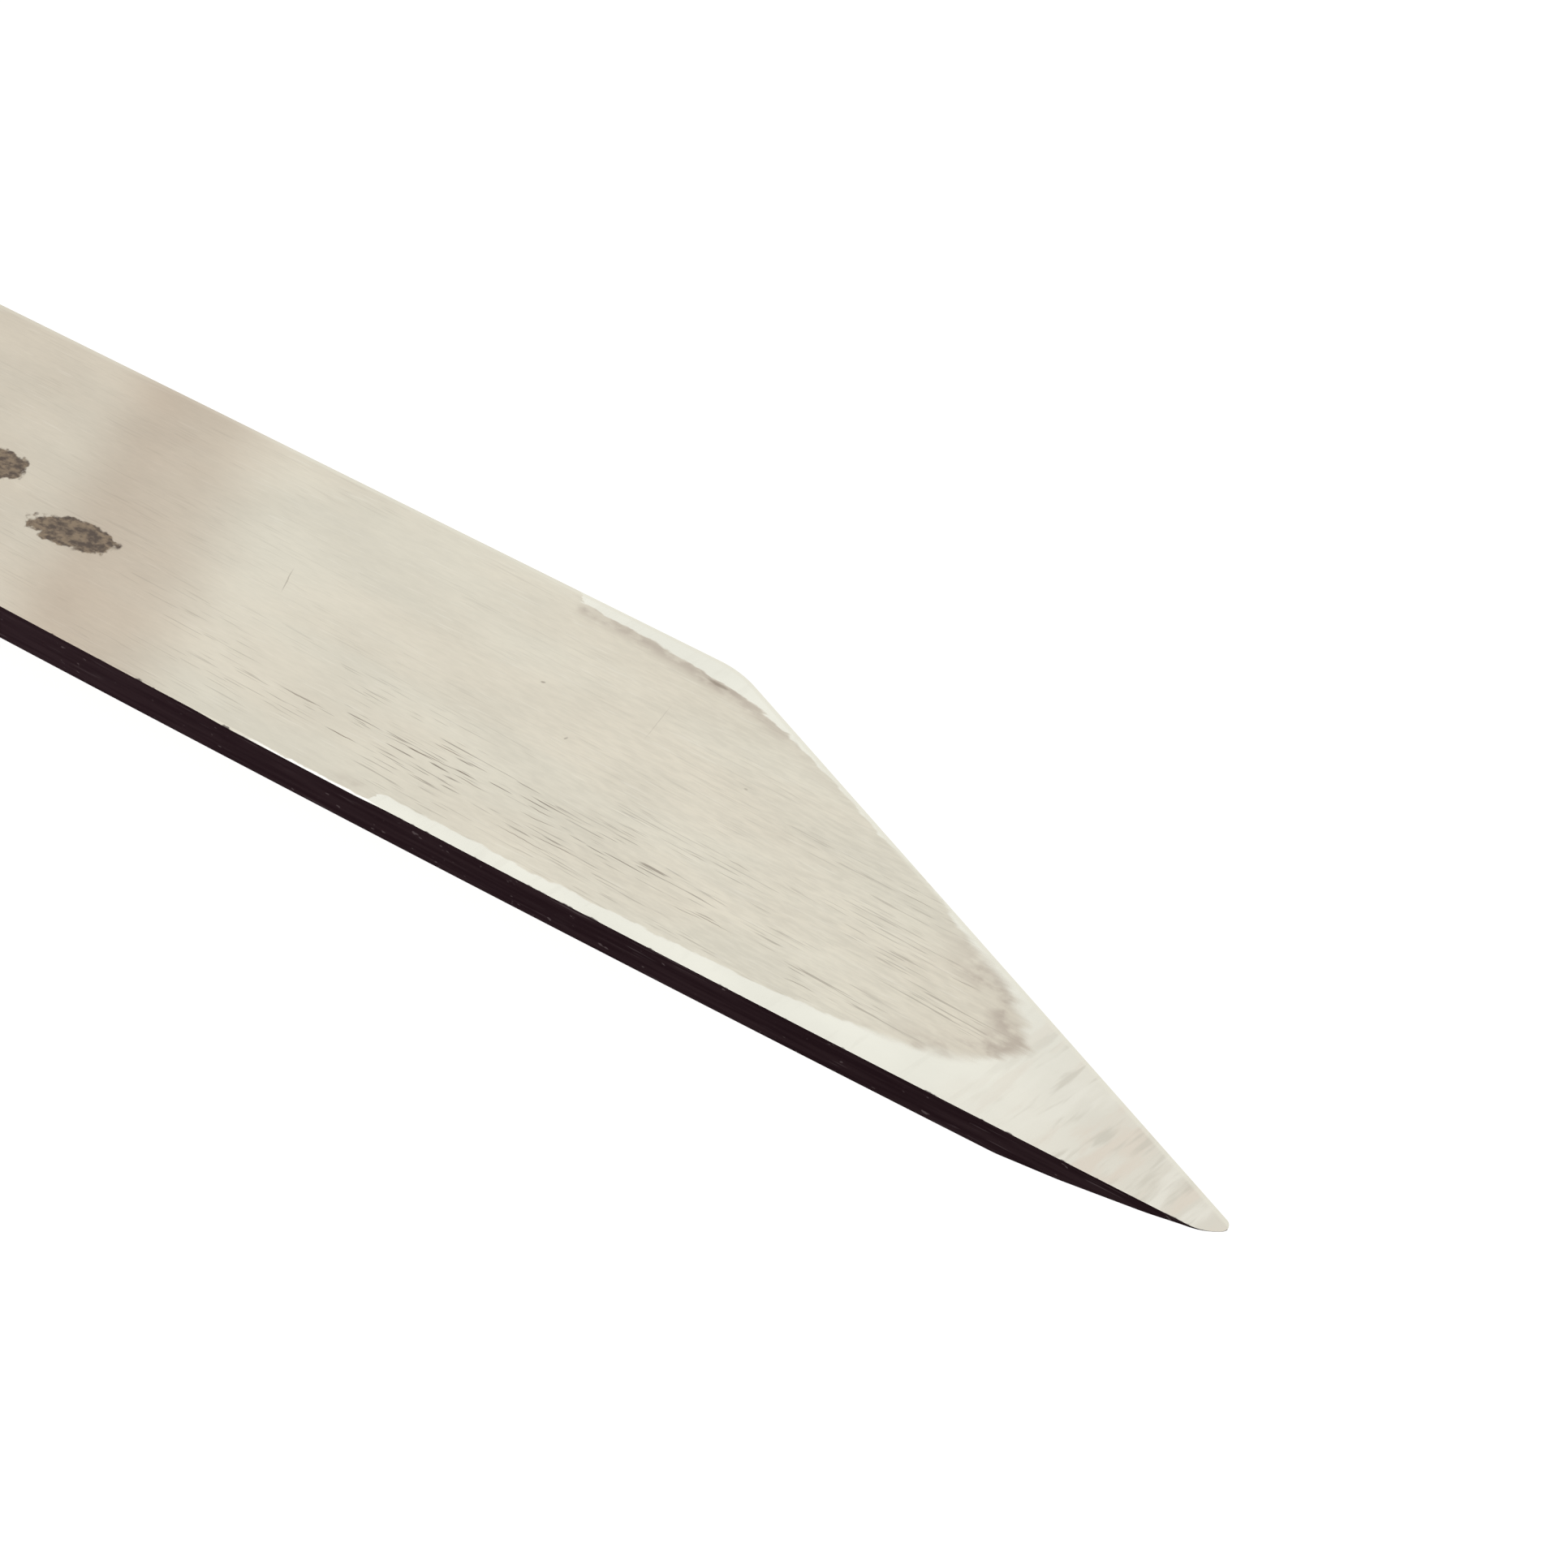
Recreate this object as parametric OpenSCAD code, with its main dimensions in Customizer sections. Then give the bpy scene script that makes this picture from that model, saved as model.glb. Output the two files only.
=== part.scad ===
// Boning knife: single-bevel blade with a full tang, two bolster halves, two scales and three rivets.
// Millimetres. X runs to the tip, Y from the spine to the cutting edge, Z up from the table.
// The knife lies on its bevel side, so the flat side of the blade looks up.

/* [Blade] */
// Length of the blade from the bolster to the point where spine and edge would meet
blade_len = 169; // [150:1:190]
// Width of the blade from the spine to the straight edge
blade_w = 28; // [26:0.5:34]
// Thickness of the steel at the tang and the heel
steel_t = 4.4; // [3.4:0.1:5.4]
// Thickness that the taper leaves at the tip
tip_t = 2.7; // [1.8:0.1:3.2]
// Fall of the spine towards the edge, reached at the tip
spine_drop = 2.6; // [0.5:0.1:4]
// Angle of the slanted edge to the straight edge
point_angle = 22.7; // [19:0.1:30]
// Rounding of the corner between the two edges
corner_r = 10; // [5:0.5:20]
// Rounding of the tip
tip_r = 0.6; // [0.4:0.05:1]
// Rounding of the sweep that leads from the spine to the tip
sweep_r = 3.7; // [2:0.1:6]
// Angle at which the end of the sweep rises from the spine
tip_rise = 38; // [30:1:50]

/* [Grind] */
// Angle of the single bevel to the flat side
bevel_angle = 17.5; // [16:0.5:24]
// Thickness of the steel left along the cutting edge
edge_land = 0.1; // [0.1:0.01:0.3]
// Radius of the round that hollows the flat side
hollow_r = 1000; // [800:50:1500]
// Depth of the hollow at its back end
hollow_depth = 0.14; // [0.08:0.01:0.15]
// Distance of the hollow's front end behind the point where spine and edge would meet
hollow_front = 22; // [16:0.5:30]
// Distance of the hollow's front end from the spine line of the heel
hollow_y = 8.5; // [5:0.5:10]
// Turn of the hollow away from the spine
hollow_turn = 3; // [1:0.5:4]

/* [Heel] */
// Distance from the bolster to the heel of the edge
heel_x = 15; // [10:0.5:20]
// Width of the neck behind the heel
neck_w = 21; // [19:0.5:23]
// Rounding of the notch between neck and heel
notch_r = 4.5; // [2:0.5:4.5]
// Length of the steel at full thickness in front of the bolster
ricasso_len = 18; // [16:0.5:24]

/* [Handle] */
// Length of the handle with the bolster
handle_len = 120; // [105:1:140]
// Thickness of the handle
handle_t = 18; // [16:0.5:22]
// Height of the handle at the palm swell
palm_h = 24.5; // [22:0.5:27]
// Distance from the bolster's front to the palm swell
palm_at = 50; // [42:1:58]
// Height of the handle at the waist
waist_h = 22; // [20:0.5:24]
// Distance from the bolster's front to the waist
waist_at = 86; // [76:1:92]
// Height of the handle at the butt
butt_h = 26.5; // [24:0.5:28]
// Fall of the back line at the butt
back_fall = 2; // [0:0.1:3]
// Rounding of the butt at the belly side
butt_r = 9; // [6:0.5:11]
// Rounding of the butt at the back
butt_back_r = 6; // [3:0.5:7]
// Loss of thickness on each side at the end of the butt
butt_thin = 3; // [1:0.5:4]
// Rounding of the long edges of the handle
edge_r = 5.5; // [3:0.5:6]
// Length of the bolster
bolster_len = 14; // [11:0.5:18]
// Length of the rounded front of the bolster
nose_len = 7; // [4:0.5:7]
// Height of the bolster's front lip over the blade
nose_lip = 1; // [0.6:0.1:2]

/* [Fasteners] */
// Diameter of the rivet heads
head_d = 8; // [6:0.5:8.5]
// Thickness of the rivet heads
head_t = 2; // [1.5:0.1:2.5]
// Outer diameter of the rivet sleeves
sleeve_d = 5; // [4.5:0.1:5.5]
// Diameter of the rivet studs
stud_d = 3; // [2.4:0.1:3.2]
// Distance from the bolster to the front rivet
rivet_front = 15; // [12:1:20]
// Distance from the butt to the rear rivet
rivet_rear = 23; // [20:1:30]
// Diameter of the bolster pins
pin_d = 3; // [2:0.1:3.5]
// Spacing of the bolster pins
pin_gap = 9; // [7:0.5:10]
// Space between pieces that fit together
fit = 0.05; // [0.03:0.01:0.1]

/* [Hidden] */
$fn = 48;
steel_color = [0.78, 0.76, 0.72];
bolster_color = [0.7, 0.7, 0.7];
wood_color = [0.24, 0.13, 0.08];
brass_color = [0.8, 0.62, 0.3];
over = 1;
arc_steps = 18;
round_steps = 6;
top_z = steel_t / 2;
half_t = handle_t / 2;
grip_z = top_z + fit;

// The spine is straight along the ricasso and then an arc that falls by spine_drop at the sharp point.
spine_run = blade_len - ricasso_len;
spine_r = (spine_run * spine_run + spine_drop * spine_drop) / (2 * spine_drop);
spine_c = [ricasso_len, spine_r];

// The sweep touches the spine arc, the tip circle touches the sweep and the slanted edge, all from inside.
slant_dir = [-cos(point_angle), sin(point_angle)];
slant_out = [sin(point_angle), cos(point_angle)];
tip_out = [sin(tip_rise), -cos(tip_rise)];
sweep_in = tip_r + (sweep_r - tip_r) * (tip_out * slant_out);
sweep_ray = [blade_len, spine_drop] - sweep_in * slant_out - spine_c;
sweep_half = sweep_ray * slant_dir;
sweep_rest = sweep_ray * sweep_ray - (spine_r - sweep_r) * (spine_r - sweep_r);
sweep_c = spine_c + sweep_ray + slant_dir * (-sweep_half - sqrt(sweep_half * sweep_half - sweep_rest));
tip_c = sweep_c + (sweep_r - tip_r) * tip_out;
tip_x = tip_c[0] + tip_r;

// The two edges meet at corner_x before the corner is rounded.
corner_x = blade_len - (blade_w - spine_drop) / tan(point_angle);

// Places of the fasteners, measured back from the front of the bolster.
pin_t = (nose_len + bolster_len) / 2;
front_t = bolster_len + rivet_front;
rear_t = handle_len - rivet_rear;
middle_t = (front_t + rear_t) / 2;

// The bevel falls from the edge line to just below the steel.
edge_z = top_z - edge_land;
bevel_run = (steel_t - edge_land + fit) / tan(bevel_angle);
far_x = blade_len + 2 * over;
taper = (steel_t - tip_t) / (blade_len - ricasso_len);

// The hollow starts at its front end with no depth and falls along its own length.
hollow_x = blade_len - hollow_front;
hollow_run = (hollow_x - ricasso_len) / cos(hollow_turn);
hollow_tilt = atan(hollow_depth / hollow_run);

// The finished knife is centred on the origin and rests on the table.
full_w = max(blade_w, palm_h, butt_h);
home = [(handle_len - tip_x) / 2, -full_w / 2, half_t];

function arc(c, r, a0, a1, n) = [for (i = [0:n]) let (a = a0 + (a1 - a0) * i / n) c + r * [cos(a), sin(a)]];
function ease(a, b, f) = a + (b - a) * f * f * (3 - 2 * f);

// Rounded corner of the edge, moved in by w.
function corner_arc(w) =
    let (r = max(corner_r - w, tip_r))
    arc([corner_x - (w + r) * tan(point_angle / 2), blade_w - w - r], r, 90 - point_angle, 90, round_steps);

// Closed ring along the edge line moved in by w, which leaves the spine side open for steel.
function bevel_ring(w) =
    let (z = edge_z - w * tan(bevel_angle), far_y = spine_drop - (far_x - blade_len) * tan(point_angle))
    [for (p = concat([[far_x, far_y - w / cos(point_angle)]], corner_arc(w), [[0, blade_w - w]],
        [[0, -blade_w]], [[far_x, -blade_w]])) [p[0], p[1], z]];

// How far the round of the butt has closed at a distance t behind the bolster front, from 0 to 1.
function butt_close(t) =
    let (u = max(0, t - handle_len + butt_r) / butt_r)
    1 - sqrt(max(0, 1 - u * u));

// Back line, belly line and half thickness of the handle at a distance t behind the bolster front.
function back_y(t) = ease(0, back_fall, t / handle_len) + butt_back_r * butt_close(t);
function belly_free(t) =
    t < palm_at ? ease(neck_w, palm_h, t / palm_at)
    : t < waist_at ? ease(palm_h, waist_h, (t - palm_at) / (waist_at - palm_at))
    : ease(waist_h, butt_h, (t - waist_at) / (handle_len - waist_at));
function belly_y(t) = belly_free(t) - butt_r * butt_close(t);
function nose_z(t) =
    let (lip_z = grip_z + nose_lip)
    lip_z + (half_t - lip_z) * sqrt(1 - pow(1 - t / nose_len, 2));
function half_z(t) = t < nose_len ? nose_z(t) : half_t - butt_thin * butt_close(t);

// Closed section of the handle at a distance t: a rectangle with rounded corners.
function section(t) =
    let (h = half_z(t), r = min(edge_r, h - grip_z - nose_lip / 2), lo = back_y(t) + r, hi = belly_y(t) - r)
    [for (p = concat(arc([hi, h - r], r, 0, 90, round_steps), arc([lo, h - r], r, 90, 180, round_steps),
        arc([lo, r - h], r, 180, 270, round_steps), arc([hi, r - h], r, 270, 360, round_steps)))
        [-t, p[0], p[1]]];

// Stations crowd where the nose and the butt are round.
nose_stations = [for (i = [0:round_steps - 1]) nose_len * (1 - cos(90 * i / round_steps))];
grip_stations = [for (i = [0:arc_steps]) nose_len + (handle_len - butt_r - nose_len) * i / arc_steps];
butt_stations = [for (i = [1:round_steps]) handle_len - butt_r * (1 - sin(90 * i / round_steps))];
stations = concat(nose_stations, grip_stations, butt_stations);

// Plan of the steel: spine, sweep, tip, slanted edge, corner, straight edge, heel, notch and tang.
sweep_turn = atan2(sweep_c[1] - spine_c[1], sweep_c[0] - spine_c[0]);
spine_line = arc(spine_c, spine_r, -90, sweep_turn, arc_steps);
sweep_end = tip_rise - 90;
sweep_step = (sweep_end - sweep_turn) / round_steps;
sweep_line = arc(sweep_c, sweep_r, sweep_turn + sweep_step, sweep_end, round_steps - 1);
tip_step = (90 - point_angle - sweep_end) / round_steps;
tip_line = arc(tip_c, tip_r, sweep_end + tip_step, 90 - point_angle, round_steps - 1);
notch_fit_r = min(notch_r, blade_w - neck_w - over);
notch_line = arc([heel_x - notch_fit_r, neck_w + notch_fit_r], notch_fit_r, 0, -90, round_steps);
belly_line = [for (t = stations) [-t, belly_y(t)]];
back_line = [for (i = [len(stations) - 1:-1:0]) [-stations[i], back_y(stations[i])]];

module steel_plan() {
    edge_line = concat(corner_arc(0), [[heel_x, blade_w]], notch_line);
    polygon(concat(spine_line, sweep_line, tip_line, edge_line, belly_line, back_line));
}

// Closed body through rings of equally many points.
module loft(rings) {
    n = len(rings[0]);
    last = len(rings) - 1;
    near_tris = [for (s = [0:last - 1], i = [0:n - 1]) [s * n + i, s * n + (i + 1) % n, s * n + n + i]];
    far_tris = [for (s = [0:last - 1], i = [0:n - 1])
        [s * n + (i + 1) % n, s * n + n + (i + 1) % n, s * n + n + i]];
    caps = [[for (i = [n - 1:-1:0]) i], [for (i = [0:n - 1]) last * n + i]];
    polyhedron(points = [for (ring = rings) each ring], faces = concat(near_tris, far_tris, caps));
}

// Block under the edge from the notch to the tip, less the steel that the bevel leaves.
module bevel_cut() {
    start_x = heel_x - notch_fit_r;
    difference() {
        translate([start_x, -over, -top_z - over])
            cube([blade_len + over - start_x, blade_w + 2 * over, edge_z + top_z + over + fit]);
        loft([bevel_ring(-over), bevel_ring(bevel_run)]);
    }
}

// Tilted block under the end of the sweep, which thins the spine side of the tip.
module tip_cut() {
    joint = sweep_c + sweep_r * tip_out;
    translate([joint[0], joint[1], edge_z])
        rotate([0, 0, tip_rise])
            rotate([-bevel_angle, 0, 0])
                translate([-bevel_run, -over, -steel_t - over])
                    cube([2 * bevel_run, bevel_run, steel_t + over]);
}

// Wedge under the blade that thins it from the ricasso to the tip.
module taper_cut() {
    far = blade_len - ricasso_len;
    translate([ricasso_len, blade_w + over, -top_z])
        rotate([90, 0, 0])
            linear_extrude(blade_w + 2 * over)
                polygon([[-over, -over * taper], [far, far * taper], [far, -over], [-over, -over]]);
}

module hollow_cut() {
    translate([hollow_x, hollow_y, top_z + hollow_r])
        rotate([0, -90 - hollow_tilt, -hollow_turn])
            translate([0, 0, -hollow_front / 2])
                cylinder(r = hollow_r, h = hollow_run + hollow_front / 2, $fn = 1440);
}

// Moves a fastener to the middle of the handle at a distance t behind the bolster front.
module at_handle(t) {
    translate([-t, (back_y(t) + belly_y(t)) / 2, 0])
        children();
}

module round_bar(d, z0, z1) {
    translate([0, 0, z0])
        cylinder(d = d, h = z1 - z0);
}

module rivet_bores() {
    for (t = [front_t, middle_t, rear_t]) {
        at_handle(t)
            round_bar(sleeve_d + 2 * fit, -half_t - over, half_t + over);
    }
}

module head_seats() {
    for (t = [front_t, middle_t, rear_t]) {
        at_handle(t) {
            round_bar(head_d + 2 * fit, half_t - head_t - fit, half_t + over);
            round_bar(head_d + 2 * fit, -half_t - over, head_t + fit - half_t);
        }
    }
}

module pin_bars(d) {
    for (side = [-1, 1]) {
        pin_bar(d, side);
    }
}

module pin_bar(d, side) {
    at_handle(pin_t)
        translate([0, side * pin_gap / 2, 0])
            round_bar(d, -half_t - over, half_t + over);
}

// Outer form of the finished handle: rounded sections joined from the bolster's nose to the butt.
module handle_form() {
    loft([for (t = stations) section(t)]);
}

// Slice of the handle form on one side of the tang, between two places along the knife.
module handle_slice(x0, x1, side) {
    slice_t = half_t + over - grip_z;
    intersection() {
        handle_form();
        translate([x0, -over, side > 0 ? grip_z : -grip_z - slice_t])
            cube([x1 - x0, full_w + 2 * over, slice_t]);
    }
}

module bolster(side) {
    color(bolster_color)
        difference() {
            handle_slice(-bolster_len, over, side);
            pin_bars(pin_d + 2 * fit);
        }
}

module scale_side(side) {
    color(wood_color)
        difference() {
            handle_slice(-handle_len - over, -bolster_len - fit, side);
            rivet_bores();
            head_seats();
        }
}

// The sleeve has its head on the flat side and is bored from below for the stud.
module rivet_sleeve(t) {
    shoulder_z = half_t - head_t;
    color(brass_color)
        at_handle(t)
            difference() {
                union() {
                    round_bar(head_d, shoulder_z, half_t);
                    round_bar(sleeve_d, fit - shoulder_z, shoulder_z + fit);
                }
                round_bar(stud_d + 2 * fit, -half_t, shoulder_z);
            }
}

module rivet_stud(t) {
    shoulder_z = half_t - head_t;
    color(brass_color)
        at_handle(t) {
            round_bar(head_d, -half_t, -shoulder_z);
            round_bar(stud_d, -shoulder_z - fit, shoulder_z - over);
        }
}

// Bolster pins are cut off flush with the form of the handle.
module bolster_pin(side) {
    color(bolster_color)
        intersection() {
            pin_bar(pin_d, side);
            handle_form();
        }
}

module blade() {
    translate(home)
        color(steel_color)
            difference() {
                translate([0, 0, -top_z])
                    linear_extrude(steel_t)
                        steel_plan();
                taper_cut();
                bevel_cut();
                tip_cut();
                hollow_cut();
                rivet_bores();
                pin_bars(pin_d + 2 * fit);
            }
}

module bolster_left() {
    translate(home)
        bolster(1);
}

module bolster_right() {
    translate(home)
        bolster(-1);
}

module bolster_pin_back() {
    translate(home)
        bolster_pin(-1);
}

module bolster_pin_belly() {
    translate(home)
        bolster_pin(1);
}

module scale_left() {
    translate(home)
        scale_side(1);
}

module scale_right() {
    translate(home)
        scale_side(-1);
}

module front_rivet_sleeve() {
    translate(home)
        rivet_sleeve(front_t);
}

module front_rivet_stud() {
    translate(home)
        rivet_stud(front_t);
}

module middle_rivet_sleeve() {
    translate(home)
        rivet_sleeve(middle_t);
}

module middle_rivet_stud() {
    translate(home)
        rivet_stud(middle_t);
}

module rear_rivet_sleeve() {
    translate(home)
        rivet_sleeve(rear_t);
}

module rear_rivet_stud() {
    translate(home)
        rivet_stud(rear_t);
}

blade();
bolster_left();
bolster_right();
bolster_pin_back();
bolster_pin_belly();
scale_left();
scale_right();
front_rivet_sleeve();
front_rivet_stud();
middle_rivet_sleeve();
middle_rivet_stud();
rear_rivet_sleeve();
rear_rivet_stud();
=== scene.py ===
# %% [markdown]
# # A boning knife in Blender
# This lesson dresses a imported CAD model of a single-bevel boning knife. The CAD gives the frame: sizes,
# places and the name of every piece. Here we work out finer surfaces with numpy, give them worn finishes
# and light them softly.

import bpy
import numpy as np
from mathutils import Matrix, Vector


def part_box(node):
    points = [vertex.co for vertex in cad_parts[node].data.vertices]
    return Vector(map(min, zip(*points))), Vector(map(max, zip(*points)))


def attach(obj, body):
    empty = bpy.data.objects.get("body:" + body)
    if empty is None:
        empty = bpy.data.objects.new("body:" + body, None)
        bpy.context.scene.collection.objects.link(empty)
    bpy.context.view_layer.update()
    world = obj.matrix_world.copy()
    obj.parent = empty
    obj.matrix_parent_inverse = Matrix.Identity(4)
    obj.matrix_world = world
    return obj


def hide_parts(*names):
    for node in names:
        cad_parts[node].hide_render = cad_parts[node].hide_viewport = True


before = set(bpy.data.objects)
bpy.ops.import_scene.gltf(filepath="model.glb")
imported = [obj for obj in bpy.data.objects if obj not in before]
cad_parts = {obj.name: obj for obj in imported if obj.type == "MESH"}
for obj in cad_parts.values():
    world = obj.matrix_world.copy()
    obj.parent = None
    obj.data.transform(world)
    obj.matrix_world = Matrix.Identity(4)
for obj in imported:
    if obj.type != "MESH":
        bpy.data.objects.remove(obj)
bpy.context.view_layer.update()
print("CAD nodes:", sorted(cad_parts))

# %% [markdown]
# ## The blade's sizes
# The blade is a forged bar, ground from one side only, with a straight edge, a slanted point and a small
# sweep up to the tip. It could be traced point by point, but then no size could change. So we keep the few
# sizes a maker would set, in millimetres, and work out the rest. x is 0 at the bolster's front and grows to
# the tip, y is 0 on the back and grows to the edge, z is 0 in the middle of the steel. `home` moves these
# into the CAD's frame.

# %% Sizes of the blade
MM = 0.001
# Length, width, and the thickness at the ricasso and at the tip.
blade_len, blade_w, steel_t, tip_t = 169.0, 28.0, 4.4, 2.7
# How far the back bows, and the radii of the edge's corner, of the tip and of the sweep before the tip.
spine_drop, corner_r, tip_r, sweep_r = 2.6, 10.0, 0.6, 3.7
# Angles of the slanted point, of the bevel, and of the sweep where the tip takes over.
point_angle, bevel_angle, tip_rise = np.radians(22.7), np.radians(17.5), np.radians(38.0)
# The neck: width, then the heel's place, its round and its notch, and the lengths of ricasso and plunge.
neck_w, heel_x, heel_round, notch_r, ricasso_len, plunge_len = 21.0, 15.0, 0.6, 4.5, 18.0, 2.5
# The handle's thickness: the knife lies on its handle, so this sets the height of the steel.
handle_t = 18.0
top_z, half_t = steel_t / 2, handle_t / 2
print("steel", steel_t, "mm thick, handle", handle_t, "mm thick")

# %% [markdown]
# ## The curve of the back
# The back is one long flat arc that ends in a tight sweep, with the tip's small round inside it. Placed by
# eye, they would show a kink in the dark strip. The sweep touches the arc and the tip's round touches the
# slanted edge, so the sweep's middle lies where a line beside the slant meets a circle about the arc's
# middle.

# %% Circles of back, sweep and tip
spine_run = blade_len - ricasso_len
spine_r = (spine_run**2 + spine_drop**2) / (2 * spine_drop)
spine_c = np.array([ricasso_len, spine_r])
slant_dir = np.array([-np.cos(point_angle), np.sin(point_angle)])
slant_out = np.array([np.sin(point_angle), np.cos(point_angle)])
tip_out = np.array([np.sin(tip_rise), -np.cos(tip_rise)])
sweep_in = tip_r + (sweep_r - tip_r) * (tip_out @ slant_out)
sweep_ray = np.array([blade_len, spine_drop]) - sweep_in * slant_out - spine_c
sweep_half = sweep_ray @ slant_dir
sweep_rest = sweep_ray @ sweep_ray - (spine_r - sweep_r) ** 2
sweep_c = spine_c + sweep_ray + slant_dir * (-sweep_half - np.sqrt(sweep_half**2 - sweep_rest))
tip_c = sweep_c + (sweep_r - tip_r) * tip_out
tip_joint = sweep_c + sweep_r * tip_out
tip_x = tip_c[0] + tip_r
corner_x = blade_len - (blade_w - spine_drop) / np.tan(point_angle) - corner_r * np.tan(point_angle / 2)
corner_y = blade_w - corner_r

blade_low, blade_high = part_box("blade")
home = np.array([blade_high[0] - tip_x * MM, blade_low[1], half_t * MM])
print("blade", round(tip_x, 2), "mm long, home", home.round(5))

# %% [markdown]
# ## Camera
# The photograph was taken from close by, over the back, so the rear of the blade runs off the picture. A
# camera set by eye would miss the outline. This one was fitted to it: it looks down at 46 degrees from 35
# degrees round to the right.

# %% Camera
def placed(name, data):
    """New object in the scene that holds a camera, a mesh or a light."""
    thing = bpy.data.objects.new(name, data)
    bpy.context.scene.collection.objects.link(thing)
    return thing


photo_azimuth, photo_elevation = np.radians(35.31), np.radians(46.0)
photo_distance, photo_lens, sensor_width = 0.24186, 74.22, 36.0
photo_target = home + np.array([blade_len - 50.99, spine_drop + 17.40, top_z]) * MM
back_dir = np.array([
    np.sin(photo_azimuth) * np.cos(photo_elevation),
    -np.cos(photo_azimuth) * np.cos(photo_elevation),
    np.sin(photo_elevation),
])
camera = placed("camera", bpy.data.cameras.new("camera"))
camera.location = photo_target + photo_distance * back_dir
camera.rotation_euler = (np.pi / 2 - photo_elevation, 0.0, photo_azimuth)
camera.data.lens, camera.data.sensor_width = photo_lens, sensor_width
camera.data.clip_start = 0.01
bpy.context.scene.camera = camera
bpy.context.scene.view_settings.view_transform = "Standard"
print("camera at", np.array(camera.location).round(4))

# %% [markdown]
# ## Making a mesh from rings
# Blade, tang, scales, bolster and rivet ends all have a section that changes along them. Modifiers could
# cut them from boxes, but a skin over rings follows a formula exactly and stays closed. Rows are stations
# along the piece, columns run round its section, and `part` is the material of each column.

# %% Mesh helpers
def skin(name, rings, materials, part=None, sharp=20.0):
    """Closed skin over rings[station, point, xyz] in millimetres: rings joined in turn, ends capped."""
    stations, count = rings.shape[:2]
    points = rings.reshape(-1, 3) * MM + home
    here = np.arange(stations * count).reshape(stations, count)
    after = np.roll(here, -1, axis=1)
    quads = np.stack([here[:-1], after[:-1], after[1:], here[1:]], axis=-1).reshape(-1, 4)
    caps = [here[0, ::-1].tolist(), here[-1].tolist()]
    mesh = bpy.data.meshes.new(name)
    mesh.from_pydata(points.tolist(), [], quads.tolist() + caps)
    for material in materials:
        mesh.materials.append(material)
    if part is not None:
        slots = np.concatenate([np.tile(part, stations - 1), [part[0], part[0]]]).astype(np.int32)
        mesh.polygons.foreach_set("material_index", slots)
    mesh.polygons.foreach_set("use_smooth", np.ones(len(mesh.polygons), dtype=bool))
    mesh.set_sharp_from_angle(angle=np.radians(sharp))
    mesh.update()
    return placed(name, mesh)


def stand_for(piece, slot, *nodes):
    """Ties a finished piece to the frame's one body and hides the CAD nodes it shows. The slot is not used.
    """
    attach(piece, "root")
    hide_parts(*nodes)
    print(piece.name, len(piece.data.polygons), "faces")


def ease(a, b, f):
    """From a to b as f goes from 0 to 1, level at both ends: f squared times three less twice f."""
    f = np.clip(f, 0.0, 1.0)
    return a + (b - a) * f * f * (3 - 2 * f)


def root_of(value):
    """Square root that treats what lies just below nothing as nothing."""
    return np.sqrt(np.maximum(value, 0.0))


print("ease at a quarter and a half:", ease(0.0, 1.0, np.array([0.25, 0.5])))

# %% [markdown]
# ## The blade's outline
# The blade lies between its back and its edge, which runs from the neck over the heel, along the straight
# edge, round the corner and down the slant to the tip. A Bezier curve could draw both, but we want the
# height at any x, so each is a function of x.

# %% Outline of the blade
def spine_y(x):
    """Back of the blade: level, then a flat arc, then the sweep and the tip, each a middle less a root."""
    arc = spine_r - root_of(spine_r**2 - np.maximum(0.0, x - ricasso_len) ** 2)
    sweep = sweep_c[1] - root_of(sweep_r**2 - (x - sweep_c[0]) ** 2)
    tip = tip_c[1] - root_of(tip_r**2 - (x - tip_c[0]) ** 2)
    return np.select([x < sweep_c[0], x < tip_joint[0]], [arc, sweep], tip)


def edge_y(x):
    """Edge side of the blade: neck, notch, heel, straight edge, corner, slant and tip, each in turn."""
    notch = neck_w + notch_r - root_of(notch_r**2 - (x - heel_x + notch_r) ** 2)
    rise = root_of(1 - (1 - np.clip((x - heel_x) / heel_round, 0, 1)) ** 2)
    heel = neck_w + notch_r + (blade_w - neck_w - notch_r) * rise
    corner = corner_y + root_of(corner_r**2 - (x - corner_x) ** 2)
    slant = spine_drop + (blade_len - x) * np.tan(point_angle)
    tip = tip_c[1] + root_of(tip_r**2 - (x - tip_c[0]) ** 2)
    corner_end, tip_start = corner_x + corner_r * slant_out[0], tip_c[0] + tip_r * slant_out[0]
    ends = [heel_x - notch_r, heel_x, heel_x + heel_round, corner_x, corner_end, tip_start]
    return np.select([x < end for end in ends], [neck_w, notch, heel, blade_w, corner, slant], tip)


print("back and edge half way along:", spine_y(blade_len / 2).round(2), edge_y(blade_len / 2).round(2))

# %% [markdown]
# ## Insets
# The bevel keeps one angle all along the edge, and a stone wears the steel evenly in from it, so both need
# the distance from the cutting edge. A search for the nearest point would be slow. We take the distance to
# each straight line, and within the corner the distance to its arc.

# %% Distances from the edges
def slant_inset(x, y):
    """Distance in from the slanted edge's line."""
    return (blade_len - x) * np.sin(point_angle) - (y - spine_drop) * np.cos(point_angle)


def edge_inset(x, y):
    """Distance in from the cutting edge: the lesser of those to its two lines, or to the corner's arc."""
    turn = np.arctan2(x - corner_x, y - corner_y)
    in_corner = (turn > 0) & (turn < point_angle)
    lines = np.minimum(blade_w - y, slant_inset(x, y))
    return np.where(in_corner, corner_r - np.hypot(x - corner_x, y - corner_y), lines)


def tip_inset(x, y):
    """Distance in from the short edge where the sweep meets the tip."""
    return (tip_joint[0] - x) * tip_out[0] + (tip_joint[1] - y) * tip_out[1]


print("inset of the corner's middle:", edge_inset(corner_x, corner_y), "mm")

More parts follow.
